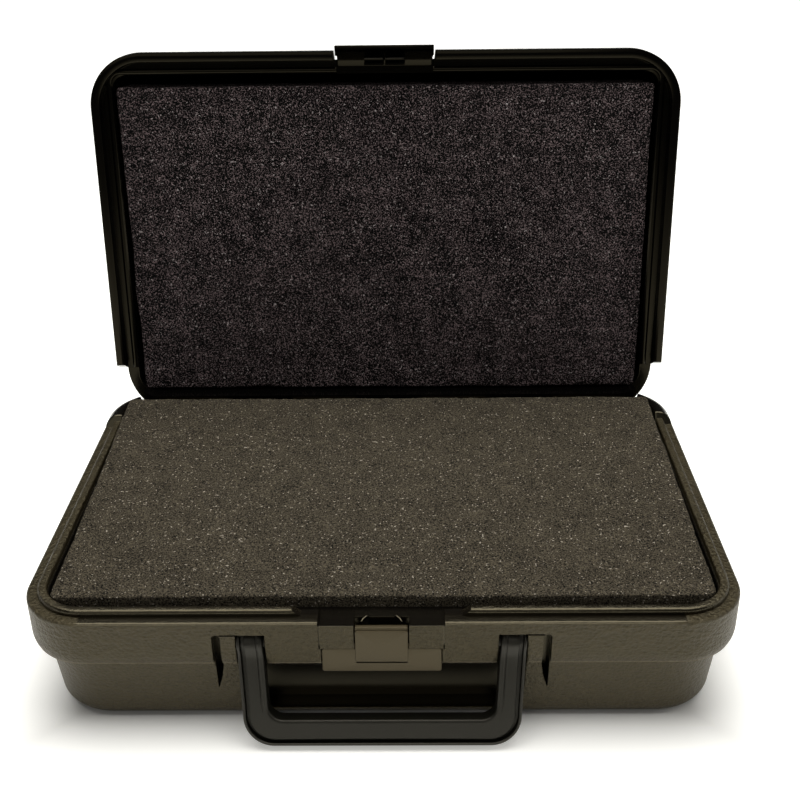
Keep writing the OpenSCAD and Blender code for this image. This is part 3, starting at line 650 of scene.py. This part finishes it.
def lid_skin():
    """The lid's skin as one closed grid, and how grained each point is: panel, roof and skirt outside,
    round the rim band, over the ledge and its ridge, and up the inside. Beside the tab and behind the
    notches the rim's rows lie on the skirt. The columns beside the tab draw in with it, and those at
    the notches lean like the humps."""
    heel = math.degrees(math.acos((heel_half - skirt_half + skirt_r_back) / skirt_r_back))
    beside_slot = both_sides([2e-4, 0.12, 0.3, 0.6, 0.9, slot_round])
    columns = outline_columns(
        spaced(-run_x, run_x, 9, [-tab_gap, tab_gap], beside_slot),
        spaced(-run_y, run_y, 8, [notch], (-2e-4, 2e-4)), spaced(-run_x, run_x, 15),
        np.linspace(0, 90, 25), corner_turn(heel))
    part, value = columns

    def panel(inset):
        """Outline of the sunk panel, drawn in by inset."""
        r = panel_r - inset
        return ring(columns, panel_half - inset, -panel_reach + inset, panel_reach - inset, r, r)

    def skirt(inset):
        """Outline of the lid's body at its foot, drawn in by inset."""
        return ring(columns, skirt_half - inset, skirt_front + inset, skirt_back - inset,
                    skirt_r_front - inset, skirt_r_back - inset, kept=notch)

    def rim(inset):
        """Outline of the rim band, drawn in by inset."""
        r = outer_r - inset
        return ring(columns, half_width - inset, front_y + inset, back_y - inset, r, r, kept=notch)

    def mouth(inset, r):
        """Outline of the lid's inside, drawn in by inset, its front corners of radius r."""
        return ring(columns, mouth_half - inset, mouth_front + inset, cavity_back - inset, r,
                    cavity_r_back - inset, kept=notch)

    plain = skirt(0)
    bare = ((part == 0) & (np.abs(value) < tab_gap)) | (part == 2) | (part == 5) | (part == 6)
    bare |= ((part == 1) | (part == 3)) & (value > notch)
    heeled = (plain[:, 1] > cavity_back) & (np.abs(plain[:, 0]) < heel_half)
    grid = [at(np.zeros_like(plain), panel_z)]
    for inset, z in ((0.9, panel_z), (0.4, 98.3), (0.0, 98.75), (-0.4, roof_z)):
        grid.append(at(panel(inset), z))
    for a in np.radians(np.linspace(90, 0, 10)):
        grid.append(at(skirt(3.5 + roof_r * (1 - math.cos(a))), 88 + roof_r * math.sin(a)))
    for share in np.linspace(0, 1, 8)[1:]:
        grid.append(at(skirt(3.5 * (1 - share) + 0.15), 88 - 18.2 * share))
    grained_rows = len(grid)

    band = [(5.0, rim_top), (0.5, rim_top), (0.15, 69.65), (0.0, 69.3), (0.0, 66.0), (0.0, 62.0),
            (0.2, 61.5), (0.7, rim_foot), (4.3, rim_foot), (4.8, 61.5), (5.0, 62.0), (5.0, 66.0),
            (5.0, 68.4), (5.3, 68.75), (5.8, ledge_z)]
    for n, (inset, z) in enumerate(band):
        share = (n + 1) / len(band)
        row = at(rim(inset), z)
        row[bare, :2] = plain[bare]
        row[bare, 2] = rim_top - share
        row[heeled, 2] = rim_top - 8.5 * share
        grid.append(row)

    ridge = [(-2.8, ledge_z), (-2.5, 68.5), (-2.1, 67.95), (-1.6, 67.75), (-1.0, 67.7), (-0.3, 67.75),
             (0.1, 68.0), (0.45, 68.6)]
    for inset, z in ridge:
        row = at(mouth(inset, mouth_r - inset), z)
        row[bare, 2] = ledge_z
        if inset < 0:
            share = (inset + 3.4) / 3.4
            row[bare, :2] = plain[bare] * (1 - share) + mouth(0.0, mouth_r)[bare] * share
        row[heeled, 2] = rim_foot
        grid.append(row)
    for share in np.linspace(0.33, 1, 6):
        grid.append(at(mouth(2 * share, mouth_r + 6 * share), 60.3 + 25.7 * share))
    for a in np.radians([22.5, 45, 67.5, 90]):
        inset = 8 - 6 * math.cos(a)
        grid.append(at(mouth(inset, 14 - inset), 86 + 6 * math.sin(a)))
    grid.append(at(np.zeros_like(plain), 92.0))
    grid = np.stack(grid)

    # Round ends of the band beside the tab, then the draw of the tab's slots and the notches' slant
    face, flank = part == 0, (part == 1) | (part == 3)
    corner = face & (np.abs(value) > tab_gap) & (np.abs(value) < tab_gap + slot_round)
    beyond = tab_gap + slot_round - np.abs(value[corner])
    lowest = 62.5 - np.sqrt(np.maximum(slot_round ** 2 - beyond ** 2, 0))
    heights = grid[:, corner, 2]
    grid[:, corner, 2] = np.where(heights < 63, np.maximum(heights, lowest), heights)
    hold = np.clip((panel_z - grid[:, :, 2]) / 10, 0, 1)
    hold[-1] = 0
    near_tab = np.sign(value[face]) * np.interp(np.abs(value[face]), [0, tab_gap, 60], [0, 1, 0])
    drawn = 1.4 * hold[:, face] * np.clip((grid[:, face, 1] + 113) / 12, 0, 1)
    grid[:, face, 0] -= drawn * near_tab
    slant = 3.8 * hold[:, flank] * np.clip((grid[:, flank, 2] - rim_foot) / 7.5, 0, 1)
    grid[:, flank, 1] += slant * np.interp(value[flank], [40, notch, 75.7], [0, 1, 0])
    grain = np.zeros(grid.shape[:2])
    grain[:grained_rows] = 1.0
    return opened(grid), grain


lid_plastic = moulded_plastic("lid_plastic", smooth=(0.0014, 0.0013, 0.0012, 1),
                              grained=(0.026, 0.02, 0.009, 1), roughness=0.16, grained_roughness=0.45,
                              depth=1.0, line_highlight=0.0, shine=0.18)
lid_grid, lid_grain = lid_skin()
place_piece("lid_skin", [lid_grid], lid_plastic, "lid", "shell_plastic", "lid_shell", grain=lid_grain)


# Tab and lid knuckles
# The springy tab between two slots of the lid's rim, with the bars that hook
# behind the latch, and the lid's knuckles. All are one with the lid.

tab = [(-113.0, 60.1), (-112.9, 59.8), (-112.5, 59.7), (-111.2, 59.7), (-110.8, 60.0), (-110.8, 62.7),
       (-109.0, 65.8), (-104.0, 68.4), (-101.5, ledge_z), (-101.5, rim_top), (-109.6, rim_top),
       (-110.1, 69.6), (-113.0, 62.9), (-113.0, 60.1)]
front_bar = [(-106.6, 56.9), (-106.4, 56.6), (-105.6, 56.4), (-105.4, 56.6), (-105.4, 68.7),
             (-106.6, 68.7), (-106.6, 56.9)]
rear_bar = [(-103.7, 62.6), (-103.4, 62.3), (-102.6, 62.3), (-102.3, 62.6), (-102.0, 68.7),
            (-104.0, 68.7), (-103.7, 62.6)]
taper = 1.4 * (np.array(tab)[:, 0] + 113) / 11.5
hooks = [bar_grid(tab, -27.4, 27.4, 0.5, taper)]
for x0, x1 in ((0.5, 11.1), (-11.1, -0.5)):
    hooks.append(bar_grid(front_bar, x0, x1, 0.25))
    hooks.append(bar_grid(rear_bar, x0 - 0.2, x1 + 0.2, 0.25))
lid_root = [(107.7, 62.8), (95.7, 62.8), (95.7, hinge_z)]
lid_root += arc(hinge_y, hinge_z, knuckle_r, 180, 360, 25)[1:] + [(107.7, 62.8)]
hooks += knuckles(lid_root, (1, 3, 5))
place_piece("lid_tab", [opened(grid) for grid in hooks], lid_plastic, "lid", "shell_plastic")


# Handle
# Injection-moulded swing handle with two leaning legs and a straight grip. A
# groove follows its outer edge and a shorter one each leg's inner edge; the
# back is a channel. Pivot bosses snap in behind the ears.

pivot_y, pivot_z, rest_lean = -105.0, 47.5, math.radians(18.8)
leg_top, leg_outer, leg_inner, leg_slope = 6.2, 65.0, 53.4, 2.8 / 48.3
grip_outer_z, grip_inner_z = -48.3, -35.9
corner_outer, corner_inner = 14.0, 7.0
half_thickness = 4.5


def edge_points(leg_x, top_round, corner_r, corner_z, grip_z):
    """One edge of the handle, from the top of the right leg to the grip's middle: a rounded end, the
    leaning leg, an arc about its own centre and the grip's line. Heights are from the pivot. top_round
    is the end's radius, and negative on the inner edge, which bends the other way."""
    lean = math.atan(leg_slope)
    height = np.array([6.2, 6.1, 5.85, 5.4, 4.8, 4.0, 3.0, 2.0, 0.8, -0.5, -2, -4, -7, -11, -15, -19, -23,
                       -27, -30])
    rise = np.maximum(height - (leg_top - abs(top_round)), 0)
    drawn = abs(top_round) - np.sqrt(np.maximum(top_round ** 2 - rise ** 2, 0))
    leg = np.stack([leg_x + leg_slope * height - math.copysign(1, top_round) * drawn, height], 1)
    centre_x = leg_x + leg_slope * corner_z - corner_r / math.cos(lean)
    turn = np.linspace(-lean, -np.pi / 2, 21)
    bend = np.stack([centre_x + corner_r * np.cos(turn), corner_z + corner_r * np.sin(turn)], 1)
    share = np.linspace(0, 1, 9)[1:]
    grip = np.stack([centre_x * (1 - share), np.full(8, grip_z)], 1)
    return np.concatenate([leg, bend, grip])


def handle_grid():
    """The handle's section, a closed line of places across (millimetres from the outer edge, or from
    the inner one) and depths, carried along pairs of points on both edges and mirrored to the left
    leg."""
    outer = edge_points(leg_outer, 3.2, corner_outer, grip_outer_z + corner_outer, grip_outer_z)
    inner = edge_points(leg_inner, -2.2, corner_inner, grip_inner_z + corner_inner, grip_inner_z)
    inner[:19, 1] = np.maximum(inner[:19, 1], -29.3)
    outer = np.concatenate([outer, (outer[:-1] * [-1, 1])[::-1]])
    inner = np.concatenate([inner, (inner[:-1] * [-1, 1])[::-1]])
    width = np.linalg.norm(inner - outer, axis=1)
    height = np.maximum(outer[:, 1], inner[:, 1])
    eye = np.sqrt(np.maximum(leg_top ** 2 - np.clip(height, -4.26, leg_top) ** 2, 0))
    thick = np.where(height > -4.26, eye, half_thickness)
    groove = np.clip((4.6 - height) / 1.6, 0, 1)
    short = groove * np.clip((height + 31) / 14, 0, 1)
    across, depth = [], []

    def add(place, sunk, from_inner=False, back=False):
        """One line of the section, sunk below the front face or the back one."""
        across.append(width - place if from_inner else np.full_like(width, place))
        depth.append(thick - sunk if back else sunk - thick)

    for a in np.radians([0, 22.5, 45, 67.5, 90]):
        add(0.7 - 0.7 * math.cos(a), 0.7 - 0.7 * math.sin(a))
    for place, sunk in ((1.15, 0.0), (1.35, 0.2), (1.5, 2.2), (1.7, 2.6), (3.1, 2.6), (3.3, 2.2),
                        (3.45, 0.2), (3.65, 0.0), (4.8, 0.0)):
        add(place, sunk * groove)
    for place, sunk in ((3.2, 0.0), (3.0, 0.12), (2.92, 0.8), (2.3, 0.8), (2.2, 0.12), (2.0, 0.0)):
        add(place, sunk * short, from_inner=True)
    for a in np.radians([90, 67.5, 45, 22.5, 0]):
        add(1.3 - 1.3 * math.cos(a), 1.3 - 1.3 * math.sin(a), from_inner=True)
    for a in np.radians([0, 30, 60, 90]):
        add(0.8 - 0.8 * math.cos(a), 0.8 - 0.8 * math.sin(a), from_inner=True, back=True)
    channel = ((2.2, 0.0), (2.4, 0.3), (2.6, 3.6))
    for place, sunk in channel:
        add(place, sunk * groove, from_inner=True, back=True)
    for place, sunk in channel[::-1]:
        add(place, sunk * groove, back=True)
    for a in np.radians([90, 60, 30, 0]):
        add(0.8 - 0.8 * math.cos(a), 0.8 - 0.8 * math.sin(a), back=True)
    across.append(across[0])
    depth.append(depth[0])
    depth = np.clip(np.stack(depth), -thick, thick)
    share = np.stack(across) / width
    x = outer[:, 0] + (inner[:, 0] - outer[:, 0]) * share
    up = outer[:, 1] + (inner[:, 1] - outer[:, 1]) * share
    return np.stack([x, depth, up], -1)


def hung(points):
    """Points of the upright handle turned to its rest, leaning on the floor, and set on its axis."""
    y, z = points[..., 1], points[..., 2]
    return np.stack([points[..., 0], pivot_y + y * math.cos(rest_lean) + z * math.sin(rest_lean),
                     pivot_z - y * math.sin(rest_lean) + z * math.cos(rest_lean)], -1)


satin, wire, shader = finish("handle_plastic", Specular_IOR_Level=0.42, IOR=1.5,
                             Specular_Tint=(1, 0.95, 0.82, 1))
place = wire.node("TexCoord", {}, {}, "Object")
dust = wire.noise(place, 2200.0, Detail=3.0)
broad = wire.noise(place, 45.0, Detail=3.0)
wire.mix(broad, (0.002, 0.002, 0.0012, 1), (0.005, 0.005, 0.0035, 1)).feed(shader, "Base Color")
(dust * 0.2 + broad * 0.1 + 0.26).feed(shader, "Roughness")
dust.bump(shader, 0.00008)
boss = arc(0.0, 0.0, 3.0, 0, 360, 29)
grids = [handle_grid()]
for x0, x1 in ((49.2, 55.0), (63.0, 69.2), (-55.0, -49.2), (-69.2, -63.0)):
    grids.append(bar_grid(boss, x0, x1, 0.4))
place_piece("handle_bail", [hung(grid) for grid in grids], satin, "handle", "handle_plastic", "handle")


# Latch rocker
# T-shaped catch between the two blocks: a lower band that turns on two pins
# in the blocks, and a stem with a raised plate that reaches under the tab.

def slab_grid(x_half, z0, z1, y0, y1, corner, edge):
    """A rounded box: rings of a rounded rectangle in x and z that swell to full size over each edge's
    quarter round, from the middle of the front face to the middle of the back one."""
    part, value = outline_columns(np.linspace(-135, 135, 9), np.linspace(-80, 80, 5),
                                  np.linspace(-135, 135, 9), np.linspace(0, 90, 7),
                                  np.linspace(0, 90, 7))
    turns = np.radians([90, 60, 30, 0])
    rounds = [(edge * (1 - math.sin(a)), edge * (1 - math.cos(a))) for a in turns]
    rows = [(y0 + along, inset) for along, inset in rounds]
    rows += [(y1 - along, inset) for along, inset in rounds[::-1]]
    grid = []
    for y, inset in rows:
        r = max(corner - inset, 0.05)
        half_x, half_z = x_half - inset, (z1 - z0) / 2 - inset
        x, z = np.zeros(len(value)), np.zeros(len(value))
        for k, level in ((0, -half_z), (2, half_z)):
            x[part == k], z[part == k] = value[part == k] / 135 * (half_x - r), level
        for k, sign in ((1, 1), (3, -1)):
            x[part == k], z[part == k] = sign * half_x, value[part == k] / 80 * (half_z - r)
        for k, sx, sz in ((4, 1, -1), (5, 1, 1), (6, -1, 1), (7, -1, -1)):
            turn = value[part == k]
            x[part == k] = sx * (half_x - r) + r * np.cos(turn)
            z[part == k] = sz * (half_z - r) + r * np.sin(turn)
        grid.append(np.stack([x, np.full_like(x, y), z + (z0 + z1) / 2], 1))
    ends = [np.broadcast_to([0.0, y, (z0 + z1) / 2], grid[0].shape) for y in (y0, y1)]
    return np.stack([ends[0]] + grid + [ends[1]])


latch_plastic, wire, shader = finish("latch_plastic", Specular_IOR_Level=0.75, IOR=1.5,
                                     Specular_Tint=(1, 0.86, 0.56, 1))
place = wire.node("TexCoord", {}, {}, "Object")
dust = wire.noise(place, 1500.0, Detail=4.0, Roughness=0.65)
wire.mix(dust, (0.006, 0.004, 0.0015, 1), (0.034, 0.023, 0.009, 1)).feed(shader, "Base Color")
(dust * 0.25 + 0.38).feed(shader, "Roughness")
dust.bump(shader, 0.0001)
band_half, stem_half = 27.0, 11.8
rocker = [slab_grid(band_half, 33.5, 46.4, -109.4, -105.4, 1.2, 0.4),
          slab_grid(stem_half, 38.0, 58.1, -109.4, -107.2, 0.5, 0.25),
          slab_grid(stem_half, 39.4, 56.7, -110.2, -108.6, 0.7, 0.35)]
pin = arc(-107.4, 43.4, 1.5, 0, 360, 21)
for x0 in (band_half - 2, -band_half - 2):
    rocker.append(bar_grid(pin, x0, x0 + 4, 0.3))
place_piece("latch_plate", rocker, latch_plastic, "latch", "latch_plastic", "latch_rocker")


# Foam
# Open-cell polyurethane cut with a knife: a thick block over a thin loose pad
# in the base, and a sheet glued in the lid. The cells show as fine specks, and
# the cut edges are a little ragged.

def wander(p, size, seed):
    """Smooth noise from -1 to 1 for points p: random values on a lattice of that size, blended between
    its corners by the smoothstep of the place in the cell."""
    table = np.random.default_rng(seed).uniform(-1, 1, 4096)
    lattice = p / size + 1000.0
    cell = np.floor(lattice).astype(int)
    blend = lattice - cell
    blend = blend * blend * (3 - 2 * blend)
    total = np.zeros(p.shape[:-1])
    for step_x in (0, 1):
        for step_y in (0, 1):
            for step_z in (0, 1):
                key = (cell[..., 0] + step_x) * 73 + (cell[..., 1] + step_y) * 1931
                key += (cell[..., 2] + step_z) * 911
                weight = blend[..., 0] if step_x else 1 - blend[..., 0]
                weight = weight * (blend[..., 1] if step_y else 1 - blend[..., 1])
                weight = weight * (blend[..., 2] if step_z else 1 - blend[..., 2])
                total += table[key % 4096] * weight
    return total


def foam_grid(half, front, back, low, top_front, top_back, r_low, r_top, step, seed=3):
    """A foam block: rings of a rounded rectangle rise from the middle of its underside, round the bottom
    and top edges, and close over a top that slopes evenly from front to back. Small noise moves every
    point but those underneath, most at the top edge."""
    edge, rag = 0.8, 0.22
    columns = outline_columns(spaced(-run_x, run_x, step), spaced(-run_y, run_y, step),
                              spaced(-run_x, run_x, step), np.linspace(0, 90, 10), np.linspace(0, 90, 10))

    def outline(inset, rise):
        """Outline drawn in by inset, its corners of the radius at that share of the height."""
        r = max(r_low + (r_top - r_low) * rise - inset, 0.3)
        return ring(columns, half - inset, front + inset, back - inset, r, r)

    def top_at(xy):
        """Height of the top above each place."""
        return top_front + (top_back - top_front) * (xy[:, 1] - front) / (back - front)

    centre = np.zeros((len(columns[0]), 2))
    centre[:, 1] = (front + back) / 2
    grid, weight = [at(centre, low)], [0.0]
    xy = outline(edge, 0.0)
    grid.append(at(xy, low + np.zeros(len(xy))))
    weight.append(0.0)
    for rise in np.concatenate([[0.02], np.linspace(0.1, 0.86, 9), [0.93]]):
        xy = outline(0.0, rise)
        grid.append(at(xy, low + (top_at(xy) - edge - low) * rise))
        weight.append(0.5)
    for a in np.radians([0, 30, 60, 90]):
        xy = outline(edge * (1 - math.cos(a)), 1.0)
        grid.append(at(xy, top_at(xy) - edge + edge * math.sin(a)))
        weight.append(1.0)
    rim = outline(edge, 1.0)
    spine = half - (back - front) / 2
    middle = np.stack([np.clip(rim[:, 0], -spine, spine), np.full(len(rim), (front + back) / 2)], 1)
    for share in (0.008, 0.02, 0.04, 0.07, 0.11, 0.16, 0.22, 0.29, 0.37, 0.46, 0.55, 0.65, 0.75, 0.85,
                  0.93, 1.0):
        xy = rim + (middle - rim) * share
        grid.append(at(xy, top_at(xy)))
        weight.append(0.6)
    grid, weight = np.stack(grid), np.array(weight)[:, None]
    for axis, (broad, inwards) in enumerate(((0.8, 0.0), (0.8, 0.0), (0.3, -0.25))):
        shake = broad * wander(grid, 26.0, seed + axis) + rag * wander(grid, 2.2, seed + 7 + axis)
        shake += 0.6 * rag * wander(grid, 0.9, seed + 14 + axis)
        grid[..., axis] += weight * (shake + inwards)
    return grid


def foam(name, pale, crumbs, low, high, crumb_share):
    """Cut foam: black pores and paler cell walls from noise and round cells under a millimetre wide,
    between the levels low and high, in drifting patches; here and there a bright crumb, and a deep fine
    bump."""
    black, white = (0, 0, 0, 1), (1, 1, 1, 1)
    material, wire, shader = finish(name, Roughness=0.95, Specular_IOR_Level=0.15)
    place = wire.node("TexCoord", {}, {}, "Object")
    cells = wire.noise(place, 1350.0, Detail=2.0, Roughness=0.7)
    pores = wire.node("TexVoronoi", {}, {"Vector": place, "Scale": 1150.0})
    drift = wire.noise(place, 90.0, Detail=3.0)
    specks = wire.noise(place, 800.0, Detail=1.0)
    level = cells + pores * 0.25 + drift * 0.16 - 0.18
    tone = wire.node("ValToRGB", {"stops": [(low, black), (high, pale)]}, {"Fac": level})
    crumb = wire.node("ValToRGB", {"stops": [(crumb_share, black), (crumb_share + 0.05, white)]},
                      {"Fac": specks})
    wire.mix(crumb, tone, crumbs).feed(shader, "Base Color")
    (cells + pores * 0.5).bump(shader, 0.0006, 0.9)
    return material


base_look = foam("foam_base", (0.105, 0.089, 0.062, 1), (0.4, 0.36, 0.3, 1), 0.38, 0.68, 0.68)
lid_look = foam("foam_lid", (0.21, 0.16, 0.165, 1), (0.4, 0.36, 0.36, 1), 0.55, 0.68, 0.68)
step = 1.0
foam_front = -91.6
smooth_all = 180.0

grid = foam_grid(152.5, foam_front, 90.1, 20.8, 62.5, 70.4, 9.0, 3.0, step)
block = place_piece("base_foam_block", [grid], base_look, "base", "foam_base", "base_foam", sharp=smooth_all)

grid = foam_grid(147.0, foam_front, 84.1, 8.4, 20.4, 20.4, 12.0, 12.0, 6.0, seed=40)
pad = place_piece("base_foam_pad", [grid], base_look, "base", "foam_base", "base_pad", sharp=smooth_all)

# The sheet is worked out face up, squeezed where it meets the lid's round roof, and turned over
sheet_half, sheet_reach, roof_inside = 150.4, 89.2, 91.55
squeezed, squeeze_height = 5.1, 5.5
grid = foam_grid(sheet_half, -90.1, 91.0, 0.0, 21.2, 25.6, 8.0, 2.0, step, seed=80)
squeeze = np.clip(1 - grid[..., 2] / squeeze_height, 0, 1)[..., None]
grid[..., :2] *= 1 - squeeze * [squeezed / sheet_half, squeezed / sheet_reach]
grid = np.stack([grid[..., 0], -grid[..., 1], roof_inside - grid[..., 2]], -1)
sheet = place_piece("lid_foam_sheet", [opened(grid)], lid_look, "lid", "foam_lid", "lid_foam",
                    sharp=smooth_all)


# Floor, light and camera
# A white sweep under soft studio lamps, seen from the photograph's place. It
# glows for the camera and for reflections, but less near the case, where the
# shadow lies, and it fades out round the camera, so that the lid stays dark.

white, wire, shader = finish("white_sweep", Base_Color=(0.86, 0.86, 0.85, 1), Roughness=0.8,
                             Specular_IOR_Level=0.2, Emission_Strength=1.0)
seen = wire.node("LightPath", {}, {}, "Is Camera Ray") + wire.node("LightPath", {}, {}, "Is Glossy Ray")
seen = seen + wire.node("LightPath", {}, {}, "Is Transmission Ray")
place = wire.node("TexCoord", {}, {}, "Object")
aside = wire.node("SeparateXYZ", {}, {"Vector": place}, "X").size()
depth = wire.node("SeparateXYZ", {}, {"Vector": place}, "Y")
away = wire.math("MAXIMUM", aside - 0.145, depth.size() - 0.1)
near = wire.node("MapRange", {}, {"Value": away, "From Max": 0.04, "To Max": 0.62})
near = near * wire.node("MapRange", {}, {"Value": depth, "From Min": -0.9, "From Max": -0.35})
far = wire.node("MapRange", {}, {"Value": depth, "From Min": 0.1, "From Max": 1.5, "To Max": 0.38})
lit = wire.mix(near + far, (0, 0, 0, 1), (1, 1, 0.95, 1))
wire.mix(seen, (0, 0, 0, 1), lit).feed(shader, "Emission Color")
floor_reach = 40
mesh = bpy.data.meshes.new("sweep")
corners = [(x * floor_reach, y * floor_reach, 0) for x, y in ((-1, -1), (1, -1), (1, 1), (-1, 1))]
mesh.from_pydata(corners, [], [(0, 1, 2, 3)])
mesh.materials.append(white)
floor = bpy.data.objects.new("sweep", mesh)
bpy.context.scene.collection.objects.link(floor)

world = bpy.data.worlds.new("studio")
bpy.context.scene.world = world
world.use_nodes = True
world.node_tree.nodes["Background"].inputs["Color"].default_value = (0.03, 0.03, 0.029, 1)


def pose(axes, place):
    """The matrix of an object at place whose x, y and z axes point along the three axes given."""
    rows = [[*row, p] for row, p in zip(np.stack(axes, 1), place)]
    return Matrix(rows + [[0, 0, 0, 1]])


def lamp(name, place, aim, size, power):
    """A soft box at place, in metres, turned to shine at aim."""
    light = bpy.data.lights.new(name, "AREA")
    light.shape = "RECTANGLE"
    light.size, light.size_y = size
    light.energy = power
    light.color = (1, 0.98, 0.94)
    back = np.array(place, float) - np.array(aim, float)
    back /= np.linalg.norm(back)
    level = [0.0, 0.0, 1.0] if abs(back[2]) < 0.99 else [0.0, 1.0, 0.0]
    side = np.cross(level, back)
    side /= np.linalg.norm(side)
    box = bpy.data.objects.new(name, light)
    box.matrix_world = pose([side, np.cross(back, side), back], place)
    bpy.context.scene.collection.objects.link(box)


lamp("top_box", (0.0, 0.12, 1.5), (0, -0.02, 0), (1.8, 1.4), 30)
lamp("front_box", (-0.35, -1.5, 1.1), (0, 0, 0.05), (1.6, 1.0), 3.5)
lamp("side_box", (1.5, -0.3, 0.8), (0, 0, 0.05), (0.8, 1.0), 4)

pitch, yaw, roll = np.radians([27.25, -0.72, -0.67])
aim, distance = np.array([0.0068, 0.1074, 0.061]), 0.706
forward = np.array([math.sin(yaw) * math.cos(pitch), math.cos(yaw) * math.cos(pitch), -math.sin(pitch)])
right = np.cross(forward, [0, 0, 1.0])
right /= np.linalg.norm(right)
up = np.cross(right, forward)
across = math.cos(roll) * right + math.sin(roll) * up
upright = -math.sin(roll) * right + math.cos(roll) * up
lens = bpy.data.cameras.new("camera")
lens.sensor_width, lens.sensor_fit, lens.lens = 36.0, "HORIZONTAL", 52.245
lens.clip_start, lens.clip_end = 0.01, 50
camera = bpy.data.objects.new("camera", lens)
camera.matrix_world = pose([across, upright, -forward], aim - forward * distance)
bpy.context.scene.collection.objects.link(camera)
bpy.context.scene.camera = camera
bpy.context.scene.view_settings.view_transform = "Standard"
